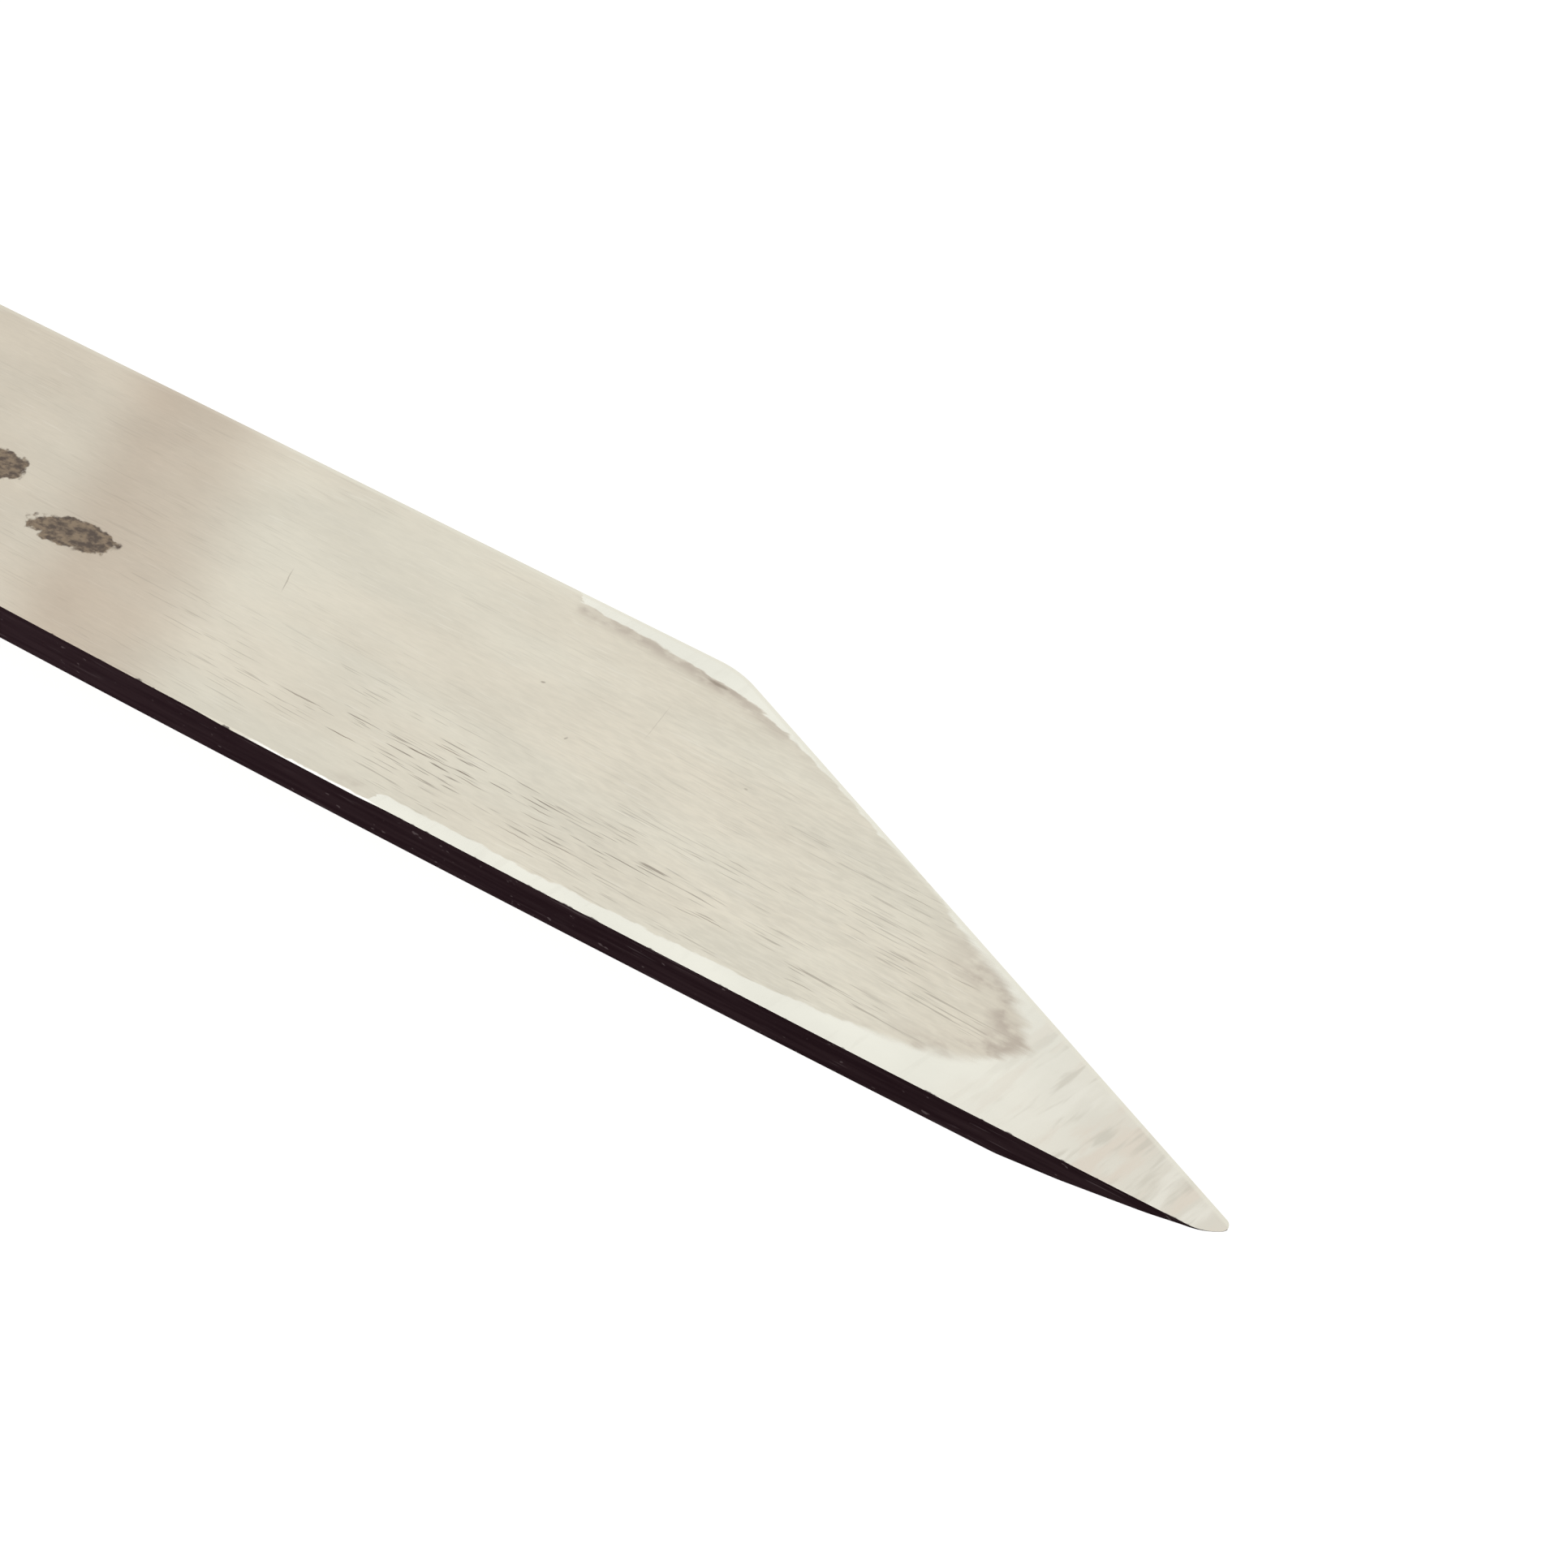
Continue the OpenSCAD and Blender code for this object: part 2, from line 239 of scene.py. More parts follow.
# %% [markdown]
# ## Hollow and taper
# The flat side is ground slightly hollow, so that only a rim needs the stone, and the hidden side rises to
# thin the blade towards the tip. A boolean with a big cylinder would cut the hollow too, but a formula
# keeps a clean grid.

# %% Hollow and hidden flat
# The hollow: radius, depth at the ricasso, front end before the point, and its axis's height and turn.
hollow_r, hollow_depth, hollow_front, hollow_y = 1000.0, 0.14, 22.0, 8.5
hollow_turn = np.radians(3.0)
taper = (steel_t - tip_t) / spine_run


def hollow(x, y):
    """Depth of the hollow: the fall along its axis, less the offset squared over twice its radius."""
    back, aside = blade_len - hollow_front - x, y - hollow_y
    run = spine_run - hollow_front
    along = back * np.cos(hollow_turn) + aside * np.sin(hollow_turn)
    across = aside * np.cos(hollow_turn) - back * np.sin(hollow_turn)
    depth = along * hollow_depth / run - across**2 / (2 * hollow_r)
    return np.maximum(depth, 0.0) * ease(1.0, 0.0, along - run + 1.0)


def under_z(x):
    """Flat on the bevel side: it rises evenly from the ricasso to the tip."""
    return taper * np.maximum(0.0, x - ricasso_len) - top_z


print("hollow in the middle:", hollow(blade_len / 2, blade_w / 2).round(3), "mm")

# %% [markdown]
# ## The polished rim
# A stone has polished the point and a rim along both edges, and the hollow between stays satin. A painted
# picture of the border would blur close up, so we store the distance into the polished zone on the mesh.
# Each rim has its own width along the blade, and a soft minimum rounds the places where rims meet.

# %% Polished rim
# Each rim's width at places along the blade, as millimetres before the point. Below zero there is no rim.
back_rim_at = [-77, -74.5, -62, -45, -35, -29, -25, -22]
back_rim_w = [-2, 1.25, 1.15, 1.4, 2.0, 2.8, 4.2, 7.0]
slant_rim_at = [-62, -57, -50, -36, -32, -27, -24, -22]
slant_rim_w = [1.5, 0.8, 0.4, 0.12, 0.55, 0.8, 1.6, 3.4]
edge_rim_at = [-78, -75.5, -70, -64, -60]
edge_rim_w = [-2, 1.0, 1.25, 1.6, 2.0]
point_rim = 22.0


def soft_min(*distances, sharpness=2.5):
    """Smooth least value: minus the logarithm of the summed exponentials of the negatives."""
    return -np.log(sum(np.exp(-sharpness * np.clip(d, -30, 30)) for d in distances)) / sharpness


def rim_depths(x, y):
    """Distances into the hollow from the rims at back, slant, straight edge and point."""
    ahead = x - blade_len
    back = y - spine_y(x) - np.interp(ahead, back_rim_at, back_rim_w)
    slant = slant_inset(x, y) - np.interp(ahead, slant_rim_at, slant_rim_w)
    edge = blade_w - y - np.interp(ahead, edge_rim_at, edge_rim_w)
    return back, slant, edge, -point_rim - ahead


def polish_map(x, y):
    """Distance into the polished zone, negative in the hollow."""
    return -soft_min(*rim_depths(x, y))


print("polish 10 and 50 mm before the point:", polish_map(blade_len - np.array([10.0, 50.0]), 8.0).round(2))

# %% [markdown]
# ## The brown film
# Where the stone never reaches, a thin brown film stays: in the hollow's rim by the corner and round its
# front end. Noise alone would put it anywhere, so it is drawn as bell curves over the rim distances.

# %% Brown film
# Darker spots: strength, millimetres before the point, height over the back, half length, half height.
film_spots = (
    (1.0, -61.3, 24.8, 1.5, 0.35),
    (0.5, -77.3, 0.7, 1.8, 0.6),
    (0.4, -75.0, 26.0, 0.5, 0.8),
    (0.75, -25.2, 8.7, 1.2, 1.1),
    (0.4, -24.8, 6.8, 1.4, 1.2),
    (0.6, -28.8, 10.8, 2.0, 0.7),
    (0.5, -24.0, 5.4, 1.6, 1.1),
)


def bell(value):
    """Bell curve: the exponential of minus the value squared."""
    return np.exp(-(value**2))


def spot(ahead, up, at_ahead, at_up, long, high):
    """Soft oval spot: the product of two bell curves, along the blade and up from the back."""
    return bell((ahead - at_ahead) / long) * bell((up - at_up) / high)


def stain_map(x, y):
    """Film by the corner, film round the front of the hollow and the spots, added up and kept below one."""
    ahead, up = x - blade_len, y - spine_y(x)
    back, slant, edge, front = rim_depths(x, y)
    corner_film = bell((soft_min(slant, edge) - 0.3) / 0.65) * ease(0.0, 1.0, (ahead + 76) / 2)
    corner_film *= ease(0.9, 0.0, (ahead + 62) / 18)
    front_film = 0.9 * bell(soft_min(back, slant, front) / 1.8) * ease(0.0, 1.0, (ahead + 36) / 10)
    spots = sum(strength * spot(ahead, up, *where) for strength, *where in film_spots)
    return np.clip(corner_film + front_film + spots, 0, 1)


print("film at the first spot:", stain_map(blade_len - 61.3, 25.6).round(2))

# %% [markdown]
# ## Dashes, band and rust
# Grinding has left dark dashes, a painted reflection crosses the blade as a soft dull band, and two plain
# oval spots of rust have pitted it. Each is a map with a simple shape, and noise in the finish breaks its
# border later.

# %% Dashes, band and rust
# Slant of the painted reflection band across the blade.
reflection_band_slant = 0.44


def scored_map(ahead, up):
    """Where dark dashes lie: a bell in the lower half of the middle, some in front, few elsewhere."""
    middle = bell((ahead + 70) / 26) * bell((up - 6.0) / 3.5)
    return 0.1 + 0.8 * middle + 0.25 * ease(0.0, 1.0, (ahead + 60) / 30)


def reflection_band_map(ahead, up):
    """Dull painted reflection across the blade: half as strong behind a slanted line, strongest past it, then
    gone.
    """
    along = ahead + reflection_band_slant * up
    rising = ease(0.43, 1.0, (along + 115) / 7.5)
    waning = ease(1.0, 0.85, (along + 108) / 6)
    return rising * waning * ease(1.0, 0.0, (along + 103) / 11)


def pit_map(ahead, up):
    """Two plain oval rust spots: one less the scaled distance from each middle, whichever is greater."""
    wide = 1 - np.hypot((ahead + 114.3) / 4.6, (up - 9.6 - 0.1 * (ahead + 114.3)) / 1.7)
    small = 1 - np.hypot((ahead + 125.2) / 2.6, (up - 12.6) / 1.9)
    return np.maximum(wide, small)


print("band 110 and 100 mm before the point:", reflection_band_map(np.array([-110.0, -100.0]), 8.0).round(2))

# %% [markdown]
# ## The bevel
# On the hidden side the bevel is ground in from the edge at one angle. It ends on a clean line, the
# shoulder, so the mesh needs a row of points there. At corner and tip that line has no short formula, so we
# find it by halving.

# %% Bevel
# The flat that the edge keeps: its height on the straight edge, on the slant and at the tip.
edge_land, slant_land, tip_land = 0.1, 0.25, 0.05
# It grows over this run past the corner, and thins over the next, which starts this far before the tip.
land_run, thin_run, thin_from = 40.0, 4.0, 6.0


def edge_z(x):
    """Lower rim of the edge's flat, which grows along the slant and thins out at the tip."""
    grown = ease(edge_land, slant_land, (x - corner_x) / land_run)
    return top_z - ease(grown, tip_land, (x - tip_x + thin_from) / thin_run)


def under_side(x, y):
    """Underside of the steel: the higher of the hidden flat and the bevel that falls in from the edge."""
    inset = np.minimum(edge_inset(x, y), tip_inset(x, y))
    bevel_z = np.maximum(under_z(x), edge_z(x) - inset * np.tan(bevel_angle))
    return ease(under_z(x), bevel_z, (x - heel_x + notch_r) / plunge_len)


def shoulder_y(x):
    """The y where the bevel ends, found by halving between back and edge."""
    width = (edge_z(x) - under_z(x)) / np.tan(bevel_angle)
    low, high = spine_y(x), edge_y(x)
    for _ in range(40):
        middle = (low + high) / 2
        past = edge_inset(x, middle) > np.minimum(width, tip_inset(x, middle))
        low, high = np.where(past, middle, low), np.where(past, high, middle)
    return low


print("shoulder half way along:", shoulder_y(blade_len / 2).round(2))

# %% [markdown]
# ## The blade's section
# The section runs once round the steel: flat side, edge, bevel, hidden flat, back. The corner between back
# and flat side is nearly sharp, and rubbed to a wider chamfer over a short stretch, whose brightness is
# partly bare steel and partly a painted highlight. A Bevel modifier has one width, so the rings hold the
# chamfer.

# %% Blade rings
# Chamfer at the back, what rubbing adds to it, and the least width of the hidden flat.
spine_bevel, rub_bevel, least_flat = 0.02, 0.13, 0.04
# Where the rubbing sets in and where it begins to fade, before the point, and the run of both changes.
rub_start, rub_end, rub_run = 93.0, 77.0, 4.0
# Points across the flat side, the bevel, the hidden flat and the back.
top_n, bevel_n, flat_n, back_n = 60, 16, 8, 5


def blade_stations():
    """Places along the blade: even steps on long stretches, steps by sine and cosine on round ones."""
    quarter = np.linspace(0, np.pi / 2, 14)
    sweep_start, tip_start, last = sweep_c[0] - 0.5, tip_c[0] - 0.4, tip_x - 0.002
    return np.unique(np.concatenate([
        np.linspace(0.0, heel_x - notch_r, 12),
        np.linspace(heel_x - notch_r, heel_x, 16),
        heel_x - notch_r + notch_r * np.sin(quarter),
        heel_x + heel_round * (1 - np.cos(quarter)),
        np.linspace(heel_x + heel_round, sweep_start, 330),
        np.linspace(sweep_start, tip_start, 20),
        tip_start + (last - tip_start) * np.sin(quarter),
    ]).round(5))


def blade_rings():
    """Rings from tip to bolster, so that faces point outwards, and the material of each column."""
    x = blade_stations()[:, None]
    back, edge = spine_y(x), edge_y(x)
    width = edge - back
    ahead = x - blade_len
    rubbed = ease(0.0, 1.0, (ahead + rub_start) / rub_run) * ease(1.0, 0.0, (ahead + rub_end) / rub_run)
    eased = np.minimum(spine_bevel, 0.15 * width)
    worn = np.minimum(spine_bevel + rub_bevel * rubbed, 0.15 * width)
    rounded = 0.3 * eased
    # The flat side, with its points closer together at back and edge.
    u = np.linspace(0, 1, top_n)[None, :]
    u = 0.5 * u + 0.25 * (1 - np.cos(np.pi * u))
    top_y = back + worn + u * (width - rounded - worn)
    top = top_z - hollow(x, top_y)
    # The edge's land and the bevel down to the shoulder.
    land_z = top[:, -1:] - rounded
    low_edge = np.minimum(under_side(x, edge), land_z)
    sliver = np.minimum(least_flat, 0.05 * width)
    shoulder = np.clip(shoulder_y(x), back + eased + sliver, edge - sliver)
    bevel_y = edge + np.linspace(0, 1, bevel_n)[None, :] * (shoulder - edge)
    bevel_z = np.minimum(under_side(x, bevel_y), low_edge)
    # The hidden flat, and the back between its two chamfers.
    flat_y = shoulder + np.linspace(0, 1, flat_n + 1)[None, 1:] * (back + eased - shoulder)
    flat_z = np.minimum(under_side(x, flat_y), low_edge)
    low_z = flat_z[:, -1:]
    thick = top[:, :1] - low_z
    lift, drop = np.minimum(eased, 0.25 * thick), np.minimum(worn, 0.25 * thick)
    h = np.linspace(0, 1, back_n)[None, :]
    back_z = low_z + lift + h * (thick - lift - drop)
    ring_y = np.concatenate([top_y, edge, bevel_y, flat_y, back + 0 * h], axis=1)
    ring_z = np.concatenate([top, land_z, bevel_z, flat_z, back_z], axis=1)
    part = np.repeat([0, 1, 2, 3, 0], [top_n, bevel_n, flat_n + 1, back_n - 1, 1])
    return np.stack([x + 0 * ring_y, ring_y, ring_z], axis=-1)[::-1], part


print("blade stations:", len(blade_stations()), "with", blade_rings()[1].size, "points each")

# %% [markdown]
# ## The handle's form
# Two scales and two bolster halves are shaped together on the knife, so one form runs through all four:
# rounded nose, palm swell, waist and flared butt. Sculpting would leave steps at the joints. Here each line
# is a function of t, the distance behind the bolster's front.

# %% Lines of the handle
# Length of the handle, of the bolster and of its rounded nose, and the nose's lip over the steel.
handle_len, bolster_len, nose_len, nose_lip = 120.0, 14.0, 7.0, 1.0
# Height and place of palm swell and waist, and the height at the butt.
palm_h, palm_at, waist_h, waist_at, butt_h = 24.5, 50.0, 22.0, 86.0, 26.5
# Fall of the back, radii of the butt at belly and back, how much it thins, and the radius of the long edges.
back_fall, butt_r, butt_back_r, butt_thin, edge_r = 2.0, 9.0, 6.0, 3.0, 5.5
# Gap for the glue, and the height at which the handle's halves start.
fit = 0.05
grip_z = top_z + fit


def butt_close(t):
    """How far the round of the butt has closed, by the quarter of an ellipse."""
    return 1 - root_of(1 - (np.maximum(0.0, t - handle_len + butt_r) / butt_r) ** 2)


def back_y(t):
    """Back line of the handle: an eased fall, and the butt's round."""
    return ease(0.0, back_fall, t / handle_len) + butt_back_r * butt_close(t)


def belly_y(t):
    """Belly line: neck, palm swell, waist and butt, eased from one to the next."""
    swell = ease(neck_w, palm_h, t / palm_at)
    dip = ease(palm_h, waist_h, (t - palm_at) / (waist_at - palm_at))
    flare = ease(waist_h, butt_h, (t - waist_at) / (handle_len - waist_at))
    return np.select([t < palm_at, t < waist_at], [swell, dip], flare) - butt_r * butt_close(t)


def half_z(t):
    """Half thickness: a quarter ellipse over the nose, level along the grip, thinner at the butt."""
    lip_z = grip_z + nose_lip
    nose = lip_z + (half_t - lip_z) * root_of(1 - (1 - np.minimum(t / nose_len, 1.0)) ** 2)
    return np.where(t < nose_len, nose, half_t - butt_thin * butt_close(t))


print("belly at palm and waist:", belly_y(np.array([palm_at, waist_at])).round(2))

# %% [markdown]
# ## The handle's sections
# A scale's section is a rectangle with two rounded outer corners, and the tang's is a plain rectangle flush
# between the scales. A Bevel modifier's width would not shrink with the nose. The ends of rivets and pins
# are turned discs on the handle's outer face.

# %% Handle rings
corner_turn = np.linspace(0, np.pi / 2, 13)[None, :]


def outer_round(high):
    """Radius of the outer corners: the chosen one, or what fits under a low nose."""
    return np.minimum(edge_r, high - grip_z - nose_lip / 2)


def handle_rings(t, side, sunk):
    """Rings of one half of the handle, on the side +1 or -1, with its faces sunk a little below the form."""
    t = t[:, None]
    high = half_z(t) - sunk
    r = outer_round(high)
    low_y, high_y = back_y(t) + sunk, belly_y(t) - sunk
    across = np.linspace(0, 1, 8)[None, 1:-1]
    flat_y = high_y - r + across * (low_y - high_y + 2 * r)
    rise, fall, inner = r * np.sin(corner_turn), r * np.cos(corner_turn), grip_z + 0 * t
    y = np.concatenate([high_y, high_y - r + fall, flat_y, low_y + r - rise, low_y], axis=1)
    z = np.concatenate([inner, high - r + rise, high + 0 * flat_y, high - r + fall, inner], axis=1)
    rings = np.stack([-t + 0 * y, y, side * z], axis=-1)
    return rings if side > 0 else rings[:, ::-1]


def outer_z(t, y):
    """Height of the handle's outer face: level, and falling along the rounded edges by radius less root."""
    high = half_z(t)
    r = outer_round(high)
    past = np.maximum(back_y(t) + r - y, y - belly_y(t) + r)
    return high - r + root_of(r**2 - np.maximum(past, 0.0) ** 2)


def tang_rings(t):
    """Rings of the tang: the strip of steel between the scales, with its edges flush."""
    t = t[:, None]
    low_y, high_y, high = back_y(t), belly_y(t), top_z + 0 * t
    y = np.concatenate([high_y, high_y, low_y, low_y], axis=1)
    z = np.concatenate([-high, high, high, -high], axis=1)
    return np.stack([-t + 0 * y, y, z], axis=-1)


def turned_rings(t, aside, side, profile):
    """Rings of a fastener's end: pairs of radius and height over the handle's face, swept round its axis."""
    profile = np.array(profile)
    angle = np.linspace(0, 2 * np.pi, 48, endpoint=False)[None, :]
    radius, height = profile[:, :1], profile[:, 1:]
    middle = (back_y(np.array(t)) + belly_y(np.array(t))) / 2 + aside
    ring_t, ring_y = t - radius * np.cos(angle), middle + radius * np.sin(angle)
    rings = np.stack([-ring_t, ring_y, side * (outer_z(ring_t, ring_y) + height)], axis=-1)
    return rings if side > 0 else rings[:, ::-1]


print("outer face at the palm:", outer_z(np.array(palm_at), np.array(palm_h / 2)).round(2), "mm up")

# %% [markdown]
# ## Small helpers for shader nodes
# A finish is a chain of small nodes. They could be placed by hand, but a script can be read and rerun.
# `add` makes a node and fills its sockets: a number is set, another node's output is linked. A `Signal` is
# such an output, and arithmetic with signals makes math nodes.

# %% Node helpers
class Signal:
    """A node's output. Plus, minus, times and over each make one math node."""

    def __init__(self, tree, socket):
        self.tree, self.socket = tree, socket

    def __add__(self, other):
        return calc(self.tree, "ADD", self, other)

    def __sub__(self, other):
        return calc(self.tree, "SUBTRACT", self, other)

    def __rsub__(self, other):
        return calc(self.tree, "SUBTRACT", other, self)

    def __mul__(self, other):
        return calc(self.tree, "MULTIPLY", self, other)

    def __truediv__(self, other):
        return calc(self.tree, "DIVIDE", self, other)


def fill(tree, node, sockets):
    """Sets each socket of a node, by name or number, or links it where the value is a signal."""
    for key, value in sockets.items():
        if isinstance(value, Signal):
            tree.links.new(value.socket, node.inputs[key])
        else:
            node.inputs[key].default_value = value


def add(tree, kind, sockets, **settings):
    """New node of a kind, with its settings made and its sockets filled."""
    node = tree.nodes.new(kind)
    for name, value in settings.items():
        setattr(node, name, value)
    fill(tree, node, sockets)
    return node


def output(tree, kind, sockets, key=0, **settings):
    """Signal from one output of a new node."""
    return Signal(tree, add(tree, kind, sockets, **settings).outputs[key])


def signals(tree, node):
    """All outputs of a node as signals, by name."""
    return {socket.name: Signal(tree, socket) for socket in node.outputs}


def calc(tree, operation, a, b=0.5):
    """Result of a math node."""
    return output(tree, "ShaderNodeMath", {0: a, 1: b}, operation=operation)


def group_of(name, vectors, numbers, results):
    """New node group that takes vectors and numbers and gives numbers, all by name."""
    group = bpy.data.node_groups.new(name, "ShaderNodeTree")
    sockets = [(word, "INPUT", "NodeSocketVector") for word in vectors]
    sockets += [(word, "INPUT", "NodeSocketFloat") for word in numbers]
    sockets += [(word, "OUTPUT", "NodeSocketFloat") for word in results]
    for word, way, kind in sockets:
        group.interface.new_socket(word, in_out=way, socket_type=kind)
    return group


print("node helpers ready")

# %% [markdown]
# ## Patterns and colours
# Ground steel, wood and rust are uneven in one direction. A picture would repeat, so we stretch noise: its
# scales are cells per metre along x, y and z. `span` turns a range of its values into a mask.

# %% Pattern helpers
def span(value, low, high, to_low=0.0, to_high=1.0):
    """Value eased from the range low to high onto the range to_low to to_high."""
    sockets = {"Value": value, "From Min": low, "From Max": high, "To Min": to_low, "To Max": to_high}
    return output(value.tree, "ShaderNodeMapRange", sockets, interpolation_type="SMOOTHSTEP")


def blend(factor, a, b, mode="MIX"):
    """Colour a mixed with colour b, in the node tree of the first of the three that is a signal."""
    tree = next(value.tree for value in (factor, a, b) if isinstance(value, Signal))
    return output(tree, "ShaderNodeMix", {0: factor, 6: a, 7: b}, 2, data_type="RGBA", blend_type=mode)


def noise(place, scales, detail=2.0, turn=0.0, shift=(0, 0, 0)):
    """Noise with stretched grain: coordinates turned about z, then scaled to cells per metre and shifted."""
    tree, spin = place.tree, {"Vector": place, "Angle": turn}
    turned = output(tree, "ShaderNodeVectorRotate", spin, rotation_type="Z_AXIS")
    moved = output(tree, "ShaderNodeMapping", {"Vector": turned, "Scale": scales, "Location": shift})
    return output(tree, "ShaderNodeTexNoise", {"Vector": moved, "Scale": 1.0, "Detail": detail}, "Fac")


def attribute(tree, name):
    """A number stored on the mesh."""
    return output(tree, "ShaderNodeAttribute", {}, "Fac", attribute_name=name)


def finish_of(name):
    """New material, its node tree and the object's own coordinates."""
    material = bpy.data.materials.new(name)
    material.use_nodes = True
    return material, material.node_tree, output(material.node_tree, "ShaderNodeTexCoord", {}, "Object")


def principled(tree, sockets):
    """Fills sockets of a material's Principled shader."""
    fill(tree, tree.nodes["Principled BSDF"], sockets)


print("pattern helpers ready")

# %% [markdown]
# ## Ground steel as a node group
# Grinding leaves fine broken lines along the blade. Anisotropic gloss would give the sheen but not the
# lines. Stretched noise gives the lines, and over a high threshold it leaves thin dashes: dark ones, and
# pale ones that are painted glints. Three finishes use it, so it is a group.

# %% Ground steel group
ground = group_of("ground_steel", ["Vector"], [], ["Lines", "Cloud", "Dark", "Light"])
place = output(ground, "NodeGroupInput", {}, "Vector")
fine_lines = noise(place, (800, 4600, 4600), detail=3)
broad_lines = noise(place, (200, 1900, 1900), detail=3)
clusters = span(noise(place, (75, 330, 330), detail=1), 0.38, 0.54)
dark_dashes = noise(place, (210, 7000, 7000), detail=1, turn=0.012, shift=(3, 7, 0))
# Pale dashes: painted glints along the fine lines.
glint_dashes = noise(place, (260, 6200, 6200), detail=1, turn=-0.02, shift=(9, 2, 5))
add(ground, "NodeGroupOutput", {
    "Lines": fine_lines * 0.65 + broad_lines * 0.35,
    "Cloud": noise(place, (90, 190, 190), detail=4),
    "Dark": clusters * span(dark_dashes, 0.61, 0.68),
    "Light": span(glint_dashes, 0.64, 0.74),
})
print("group", ground.name, len(ground.nodes), "nodes")


def ground_steel(place):
    """The ground steel group's outputs at these coordinates."""
    return signals(place.tree, add(place.tree, "ShaderNodeGroup", {"Vector": place}, node_tree=ground))

# %% [markdown]
# ## A scratch as a node group
# Large scratches are set one by one. Thin meshes would float over the steel, while a mask lies exactly in
# it. A scratch is a long thin oval: the distances along it and beside it, each over its size, make one
# reach, and the mask fades towards the rim, as where a tool lifts off.

# %% Scratch group
scratch = group_of("scratch", ["Vector", "Middle"], ["Angle", "Length", "Width"], ["Mask"])
given = signals(scratch, add(scratch, "NodeGroupInput", {}))
away = output(scratch, "ShaderNodeVectorMath", {0: given["Vector"], 1: given["Middle"]}, operation="SUBTRACT")
back_turn = {"Vector": away, "Angle": given["Angle"] * -1.0}
turned = output(scratch, "ShaderNodeVectorRotate", back_turn, rotation_type="Z_AXIS")
parts = signals(scratch, add(scratch, "ShaderNodeSeparateXYZ", {"Vector": turned}))
wander = (noise(given["Vector"], (700, 700, 700)) - 0.5) * (0.25 * MM)
reach_along = parts["X"] / given["Length"]
reach_beside = (parts["Y"] + wander) / given["Width"]
reach = calc(scratch, "SQRT", reach_along * reach_along + reach_beside * reach_beside)
add(scratch, "NodeGroupOutput", {"Mask": span(reach, 0.55, 0.2)})
print("group", scratch.name, len(scratch.nodes), "nodes")


def scratch_at(place, ahead, up, angle, length, width):
    """Mask of one scratch: its middle as millimetres before the point and over the back, angle in degrees."""
    x = ahead + blade_len
    middle = home + np.array([x, spine_y(x) + up, top_z]) * MM
    form = {"Angle": np.radians(angle), "Length": length * MM, "Width": width * MM}
    sockets = {"Vector": place, "Middle": middle, **form}
    return output(place.tree, "ShaderNodeGroup", sockets, node_tree=scratch)

# %% [markdown]
# ## The flat side: satin
# The hollow keeps the satin of its grinding: warm pale steel with fine lines, dark dashes where it is
# scored, and some pale dashes that are painted glints. One flat colour with a bump would look like plastic,
# so lines and clouds shade the colour too.

# %% Satin steel
flat_steel, tree, place = finish_of("blade_flat_side")
grain = ground_steel(place)
ahead_of, over_back = attribute(tree, "ahead"), attribute(tree, "up")
warm_or_cool = span(noise(place, (45, 160, 160), detail=3, shift=(2, 3, 0)), 0.35, 0.65)
satin = blend(warm_or_cool, (0.715, 0.668, 0.560, 1), (0.705, 0.669, 0.566, 1))
lines = span(grain["Lines"], 0.32, 0.68, -0.055, 0.05) * span(ahead_of, -95.0, -40.0, 0.4, 1.0)
cloud = span(grain["Cloud"], 0.3, 0.7, 0.965, 1.03)
satin = blend(1.0, satin, cloud + lines, "MULTIPLY")
satin = blend(grain["Dark"] * attribute(tree, "scored"), satin, (0.23, 0.195, 0.16, 1))
# Painted glints: pale dashes from the ground steel group.
satin = blend(grain["Light"] * 0.28, satin, (0.83, 0.80, 0.71, 1))
print("satin:", len(tree.nodes), "nodes so far")

# %% [markdown]
# ## The flat side: polish
# The stone leaves paler, smoother steel, with soft streaks across the blade near the point. A bare
# threshold on the stored distance would look drawn. The stone moved along the blade, so noise shifts the
# border along x: we add the border's slope times the shift.

# %% Polished steel
border_shift = (noise(place, (260, 1500, 1500), detail=4) - 0.5) * 2.2
small_shift = (noise(place, (450, 1300, 1300), detail=3, shift=(4, 0, 1)) - 0.5) * 0.8
into_polish = attribute(tree, "polish") + (border_shift * attribute(tree, "slope") + small_shift)
softness = span(ahead_of, -36.0, -25.0, 0.08, 0.85)
polished = span(into_polish, softness * -1.0, softness)

near_point = span(ahead_of, -27.0, -15.0)
stone = blend(span(ahead_of, -33.0, -6.0), (0.835, 0.825, 0.733, 1), (0.70, 0.667, 0.58, 1))
stone = blend(1.0, stone, span(grain["Cloud"], 0.3, 0.7, 0.97, 1.03), "MULTIPLY")
broad_streaks = noise(place, (600, 150, 150), detail=3, turn=0.19)
fine_streaks = noise(place, (1300, 230, 230), turn=0.19, shift=(5, 1, 0))
pale_streak = span(broad_streaks, 0.47, 0.3, 0.0, 0.6) * near_point
warm_streak = span(broad_streaks, 0.5, 0.65) * near_point
dark_streak = span(fine_streaks, 0.52, 0.72) * span(near_point, 0.0, 1.0, 0.1, 0.7)
stone = blend(pale_streak, stone, (0.81, 0.79, 0.705, 1))
stone = blend(warm_streak, stone, (0.715, 0.655, 0.562, 1))
stone = blend(dark_streak, stone, (0.585, 0.555, 0.475, 1))
steel = blend(polished, satin, stone)
print("polish:", len(tree.nodes), "nodes so far")
